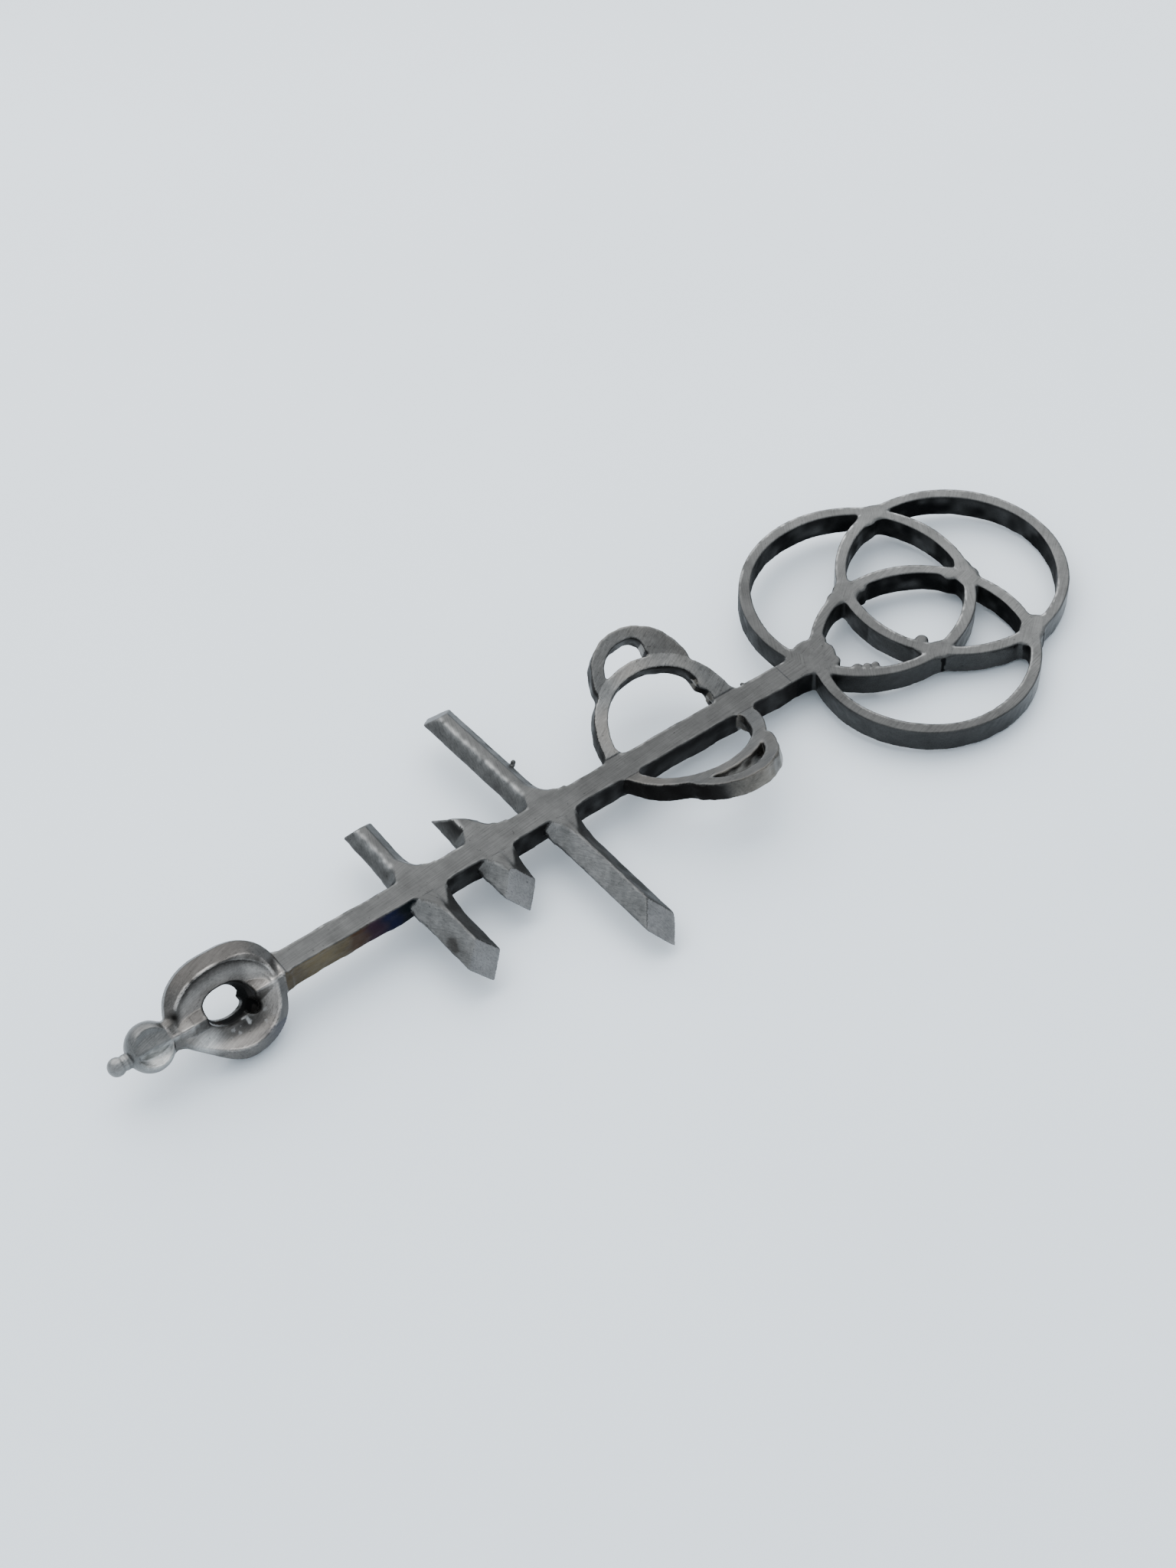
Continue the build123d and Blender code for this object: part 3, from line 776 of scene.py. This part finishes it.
def eye_tone(base):
    """Painted light and shade on the disc: brighter bowls and rims, glints on the crest and the spine, shade
    round the hole and in the nick, and a reflection in the near bowl; with a black hole, specks and blueing.
    """
    a, p, q = eye_axes(X, Y, Z)
    eye = (X < -285) & (X > -330)
    bowls = eye * (q > 0) * (1 - step(np.hypot(a / 18.5, p / 15.0), 0.9, 1.05))
    # painted light: bowls and near rim brighter, far rim darker
    base = scale(base, 1 + 1.1 * bowls + 0.6 * eye * (p < -14) - 0.30 * eye * step(p, 9, 12))
    # painted light on the left rim
    base = scale(base, 1 + 0.3 * eye * step(-a, 10, 16) * (1 - bowls))
    # painted highlight: glints along the crest
    crest = eye * step(SHARP, 0.16, 0.45) * (q > 4.5) * (NZ > 0)
    base = paint(base, crest * np.clip(0.45 + 0.5 * n_mid + 0.3 * n_fine, 0, 0.9), (1.0, 1.0, 0.98))
    # more painted light on parts of the bowls
    base = scale(base, 1 + 0.15 * bowls * step(p, 1, 5) + 0.5 * bowls * step(a, 9, 13))
    base = base * (1 - (eye * (NZ > -0.3))[:, None] * np.array([0.0, 0.06, 0.10]))
    # painted highlight: glints along the spine, on to the bead
    spine = (q > 2) * np.exp(-((p + 0.3) / 0.7) ** 2) * (X < -285) * (X > -342) * (a < 0)
    base = paint(base, spine * np.clip(0.45 + 0.4 * n_fine, 0, 0.8), (1.0, 1.0, 0.98))
    hole = eye_hole(a, p, q)
    black = eye * (1 - step(hole, 0.25, 0.8))
    base = paint(base, black, (0.003, 0.0025, 0.002))
    base = paint(base, 0.6 * black * (p < -3) * (a < 6) * step(n_mid, -0.4, 0.4), (0.03, 0.017, 0.010))
    # painted shade round the hole's mouth
    shade = eye * (1 - step(hole, 0.5, 6.5)) * (q > 0) * (0.75 + 0.4 * n_mid)
    shade = shade * (0.9 - 0.4 * step(p, 0, 4) - 0.35 * step(a, 9, 13) * step(p, -4, 0))
    base = paint(base, shade, (0.06, 0.055, 0.05))
    speckled = eye * spot(a, p, 4, -8, 7, 3.2) * (q > 1)
    base = paint(base, speckled, (0.07, 0.067, 0.063))
    base = paint(base, speckled * step(n_fine, 0.40, 0.55) * 0.7, (0.8, 0.8, 0.8))
    # painted reflection: a bright patch in the near bowl
    base = paint(base, 1.1 * eye * spot(a, p, -12, -7.5, 4.5, 3.5) * (q > 0), (1.0, 1.0, 0.98))
    base = paint(base, 0.7 * eye * np.exp(-((a - 15) / 7) ** 2) * (p < -13), (0.07, 0.075, 0.12))
    # painted shade in the nick beside the neck
    return paint(base, eye * spot(a, p, -18.5, 6.0, 2.6, 2.6) * (q > 1), (0.02, 0.018, 0.016))


def tip_tone(base):
    """The bead and ball painted brighter as painted light, with a painted highlight in the bead's near bowl.
    """
    a, p, q = eye_axes(X, Y, Z)
    tip = X < -330
    # painted light on the bead and, most, the ball
    base = scale(base, 1 + tip * (0.35 + 0.9 * (X < -346)))
    # painted highlight in the bead's near bowl
    return paint(base, 1.3 * tip * (q > 1) * spot(a, p, -29, -3.8, 5, 2.6), (1.3, 1.3, 1.25))


def paint_edge_glints(base):
    """Painted highlights along the edges, patchy like bare metal, most on those that face the window and
    fewer on the rings' far left.
    """
    toward = [sample(UNDER + 0.5 * e) - sample(UNDER - 0.5 * e) for e in np.eye(3)[:2]]
    lit = step(toward[1] + 0.35 * toward[0], 0.1, 0.6)
    edge = step(SHARP, 0.14, 0.40) * step(NZ, 0.2, 0.5)
    edge = edge * np.where(X > -62, lit, 0.15 + 0.4 * lit) * (1 - 0.5 * far_left_shade)
    patchy = np.clip(0.5 + 0.9 * n_fine, 0, 1) * (0.38 + 0.20 * n_big + 0.15 * rings_zone)
    # painted highlight on the edges
    return paint(base, edge * patchy, EDGE_GLINT)


tone = shaft_tone(ring_tone(bare_tone()))
gloss = SMOOTH + 0.05 * n_big
for arm_name, arm in ARMS.items():
    tone = arm_tone(tone, arm_name, arm)
    gloss = np.where(on_arm(arm)[3], GROUND_ARM, gloss)
tone = tip_tone(eye_tone(collar_tone(arm_marks(tone))))
tone = np.clip(paint_edge_glints(tone) * GAIN, 0.003, 0.9)
gloss = np.clip(gloss + 0.45 * (1 - step(tone.mean(1), 0.02 * GAIN, 0.10 * GAIN)), 0.2, 0.9)
COAT = np.concatenate([tone, gloss[:, None]], 1)

# direction of the grinding marks on each piece, in radians from the shaft
GRIND = {"ring_left": 1.05, "ring_right": 0.25, "ring_end": 0.65, "weld_ring_root": 0.30, "shaft": 0.10,
         "collar_hoop_left": 0.45, "collar_crest_left": 0.45, "eye": 0.35, "bead": 0.25}


def grain_of(name, points):
    """Coordinates along and across the grinding marks."""
    if name in ARMS:
        u, w = arm_frame(points[:, 0], points[:, 1], ARMS[name])
        return np.stack([u + 0.6 * w, w - 0.4 * u, points[:, 2]], 1)
    c, s = math.cos(GRIND.get(name, 0.2)), math.sin(GRIND.get(name, 0.2))
    px, py = points[:, 0], points[:, 1]
    return np.stack([px * c + py * s, py * c - px * s, points[:, 2]], 1)


# ------------------------------------------------------------------ steel
def make_steel(name):
    """Ground steel: its tone, painted light and shade included, and its roughness come from the coat
    attribute, its scratches from grain.
    """
    mat = bpy.data.materials.new(name)
    mat.use_nodes = True
    tree = mat.node_tree
    nodes, links = tree.nodes, tree.links
    nodes.clear()

    def node(kind, **values):
        made = nodes.new(kind)
        for key, value in values.items():
            setattr(made, key, value)
        return made

    def math_node(operation, first, second, clamp=False):
        made = node("ShaderNodeMath", operation=operation, use_clamp=clamp)
        for socket, value in zip(made.inputs, (first, second)):
            if isinstance(value, (int, float)):
                socket.default_value = value
            else:
                links.new(value, socket)
        return made.outputs[0]

    out = node("ShaderNodeOutputMaterial")
    shader = node("ShaderNodeBsdfPrincipled")
    links.new(shader.outputs[0], out.inputs[0])
    coat = node("ShaderNodeAttribute", attribute_name="coat")
    grain = node("ShaderNodeAttribute", attribute_name="grain")

    def noise(vector, scale, detail, rough=0.6):
        made = node("ShaderNodeTexNoise")
        made.inputs["Scale"].default_value = scale
        made.inputs["Detail"].default_value = detail
        made.inputs["Roughness"].default_value = rough
        links.new(vector, made.inputs["Vector"])
        return made.outputs["Fac"]

    def stretched(factors):
        made = node("ShaderNodeVectorMath", operation="MULTIPLY")
        links.new(grain.outputs["Vector"], made.inputs[0])
        made.inputs[1].default_value = factors
        return made.outputs[0]

    lines = noise(stretched((0.06, 2.2, 1.6)), 1.0, 5.0, 0.7)
    cross = noise(stretched((1.3, 0.10, 0.9)), 1.0, 3.0, 0.6)
    coords = node("ShaderNodeTexCoord")
    pits = noise(coords.outputs["Object"], 900.0, 3.0, 0.6)
    cloud = noise(coords.outputs["Object"], 110.0, 4.0, 0.6)
    marks = math_node("ADD", math_node("MULTIPLY", lines, 0.82), math_node("MULTIPLY", cross, 0.18))

    def remap(value, from_min, from_max, to_min, to_max):
        made = node("ShaderNodeMapRange")
        made.inputs["From Min"].default_value = from_min
        made.inputs["From Max"].default_value = from_max
        made.inputs["To Min"].default_value = to_min
        made.inputs["To Max"].default_value = to_max
        links.new(value, made.inputs["Value"])
        return made.outputs[0]

    scratches = remap(marks, 0.3, 0.7, 0.62, 1.38)
    stains = remap(cloud, 0.30, 0.62, 0.80, 1.10)
    dots = remap(pits, 0.26, 0.36, 0.45, 1.0)
    gain = math_node("MULTIPLY", math_node("MULTIPLY", scratches, stains), dots)

    scaled = node("ShaderNodeVectorMath", operation="SCALE")
    links.new(coat.outputs["Color"], scaled.inputs[0])
    links.new(gain, scaled.inputs["Scale"])
    links.new(scaled.outputs[0], shader.inputs["Base Color"])

    roughness = math_node("ADD", coat.outputs["Alpha"],
                          math_node("MULTIPLY", math_node("SUBTRACT", marks, 0.5), 0.5), True)
    links.new(roughness, shader.inputs["Roughness"])
    shader.inputs["Metallic"].default_value = 0.92
    height = math_node("ADD", marks, math_node("MULTIPLY", pits, 0.5))
    bump = node("ShaderNodeBump")
    bump.inputs["Strength"].default_value = 0.5
    bump.inputs["Distance"].default_value = 0.00012
    links.new(height, bump.inputs["Height"])
    links.new(bump.outputs["Normal"], shader.inputs["Normal"])
    return mat


STEEL = {
    "bar_steel": make_steel("steel_bar"),
    "ring_steel": make_steel("steel_ring"),
    "collar_steel": make_steel("steel_collar"),
    "finial_steel": make_steel("steel_finial"),
    "weld_metal": make_steel("steel_weld"),
}
SLOT = {part["node"]: part["material_slot"] for part in RECORD["subparts"]}
FINAL = place(VERTS)
TURNED = NORMAL @ POSE.T


def make_piece(number, name):
    """The closed mesh of one label, with its colours, grain and normals."""
    quads = []
    for side, order in ((0, (0, 1, 2, 3)), (1, (3, 2, 1, 0))):
        mine = PAIRS[:, side] == number
        quads.append(inverse[mine][:, order])
    quads = np.concatenate(quads)
    used, faces = np.unique(quads.ravel(), return_inverse=True)
    faces = faces.reshape(-1, 4)
    mesh = bpy.data.meshes.new("look_" + name)
    mesh.vertices.add(len(used))
    mesh.vertices.foreach_set("co", FINAL[used].astype(np.float32).ravel())
    mesh.loops.add(faces.size)
    mesh.loops.foreach_set("vertex_index", faces.ravel().astype(np.int32))
    mesh.polygons.add(len(faces))
    mesh.polygons.foreach_set("loop_start", np.arange(0, faces.size, 4, dtype=np.int32))
    mesh.polygons.foreach_set("loop_total", np.full(len(faces), 4, np.int32))
    mesh.update(calc_edges=True)
    mesh.polygons.foreach_set("use_smooth", np.ones(len(faces), bool))
    coat = mesh.attributes.new("coat", "FLOAT_COLOR", "POINT")
    coat.data.foreach_set("color", COAT[used].astype(np.float32).ravel())
    grain = mesh.attributes.new("grain", "FLOAT_VECTOR", "POINT")
    grain.data.foreach_set("vector", grain_of(name, VERTS[used]).astype(np.float32).ravel())
    mesh.normals_split_custom_set_from_vertices(TURNED[used].astype(np.float32))
    piece = bpy.data.objects.new("look_" + name, mesh)
    bpy.context.scene.collection.objects.link(piece)
    mesh.materials.append(STEEL[SLOT[name]])
    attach(piece, "root")
    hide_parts(name)


for index, piece_name in enumerate(NAMES):
    make_piece(index + 1, piece_name)


# ------------------------------------------------------------------ floor, light and camera
def plane(name, corners, material):
    """A flat piece of the stage."""
    mesh = bpy.data.meshes.new(name)
    mesh.from_pydata(corners, [], [(0, 1, 2, 3)])
    made = bpy.data.objects.new(name, mesh)
    bpy.context.scene.collection.objects.link(made)
    mesh.materials.append(material)
    return made


def make_paper():
    """Pale floor, faintly mottled, with painted shade that darkens it towards the far side."""
    mat = bpy.data.materials.new("pale_floor")
    mat.use_nodes = True
    tree = mat.node_tree
    nodes, links = tree.nodes, tree.links
    shader = nodes["Principled BSDF"]
    shader.inputs["Roughness"].default_value = 0.45
    coords = nodes.new("ShaderNodeTexCoord")
    mottle = nodes.new("ShaderNodeTexNoise")
    mottle.inputs["Scale"].default_value = 6.0
    mottle.inputs["Detail"].default_value = 4.0
    links.new(coords.outputs["Object"], mottle.inputs["Vector"])
    strength = nodes.new("ShaderNodeMapRange")
    strength.inputs["To Min"].default_value = 0.93
    strength.inputs["To Max"].default_value = 1.03
    links.new(mottle.outputs["Fac"], strength.inputs["Value"])
    away = nodes.new("ShaderNodeVectorMath")
    away.operation = "DOT_PRODUCT"
    away.inputs[1].default_value = (0.575, 0.818, 0.0)
    links.new(coords.outputs["Object"], away.inputs[0])
    # painted shade: darker towards the far side
    far_shade = nodes.new("ShaderNodeMapRange")
    far_shade.interpolation_type = "SMOOTHSTEP"
    far_shade.inputs["From Min"].default_value = 0.42
    far_shade.inputs["From Max"].default_value = 0.80
    far_shade.inputs["To Min"].default_value = 1.0
    far_shade.inputs["To Max"].default_value = 0.76
    links.new(away.outputs["Value"], far_shade.inputs["Value"])
    dim = nodes.new("ShaderNodeMath")
    dim.operation = "MULTIPLY"
    links.new(far_shade.outputs[0], dim.inputs[0])
    links.new(strength.outputs[0], dim.inputs[1])
    colour = nodes.new("ShaderNodeVectorMath")
    colour.operation = "SCALE"
    colour.inputs[0].default_value = (0.83, 0.89, 0.94)
    links.new(dim.outputs[0], colour.inputs["Scale"])
    links.new(colour.outputs[0], shader.inputs["Base Color"])
    return mat


FLOOR_HALF, FLOOR_Z = 4.0, -0.0002
corners = [(sx * FLOOR_HALF, sy * FLOOR_HALF, FLOOR_Z) for sx, sy in ((-1, -1), (1, -1), (1, 1), (-1, 1))]
plane("floor", corners, make_paper())

world = bpy.data.worlds.new("room")
world.use_nodes = True
world.node_tree.nodes["Background"].inputs["Color"].default_value = (0.86, 0.93, 1.0, 1)
world.node_tree.nodes["Background"].inputs["Strength"].default_value = 1.36
bpy.context.scene.world = world


def lamp(name, at, width, depth, power):
    """A soft lamp that points at the object."""
    data = bpy.data.lights.new(name, "AREA")
    data.shape = "RECTANGLE"
    data.size, data.size_y = width, depth
    data.energy = power
    made = bpy.data.objects.new(name, data)
    made.location = at
    made.rotation_euler = (-Vector(at)).to_track_quat("-Z", "Y").to_euler()
    bpy.context.scene.collection.objects.link(made)


lamp("window", (0.45, 1.45, 1.95), 4.0, 3.4, 106)

# The camera's place, and its right, down and forward directions, in the flat frame.
CAMERA_AT = np.array([-550.287, -566.609, 811.273])
CAMERA_RIGHT = (0.80446148, -0.59365647, -0.0203403)
CAMERA_DOWN = (-0.45984851, -0.6007325, -0.65395703)
CAMERA_AHEAD = (0.37600674, 0.5354367, -0.7562582)
columns = POSE @ np.array([CAMERA_RIGHT, CAMERA_DOWN, CAMERA_AHEAD]).T
spin = Matrix((columns[:, 0], -columns[:, 1], -columns[:, 2])).transposed()
camera_data = bpy.data.cameras.new("camera")
camera_data.sensor_fit = "VERTICAL"
camera_data.sensor_height = 36.0
camera_data.lens = 67.623
camera_data.clip_end = 20
camera = bpy.data.objects.new("camera", camera_data)
camera.matrix_world = Matrix.Translation(Vector(place(CAMERA_AT[None])[0])) @ spin.to_4x4()
bpy.context.scene.collection.objects.link(camera)
bpy.context.scene.camera = camera

bpy.context.view_layer.update()
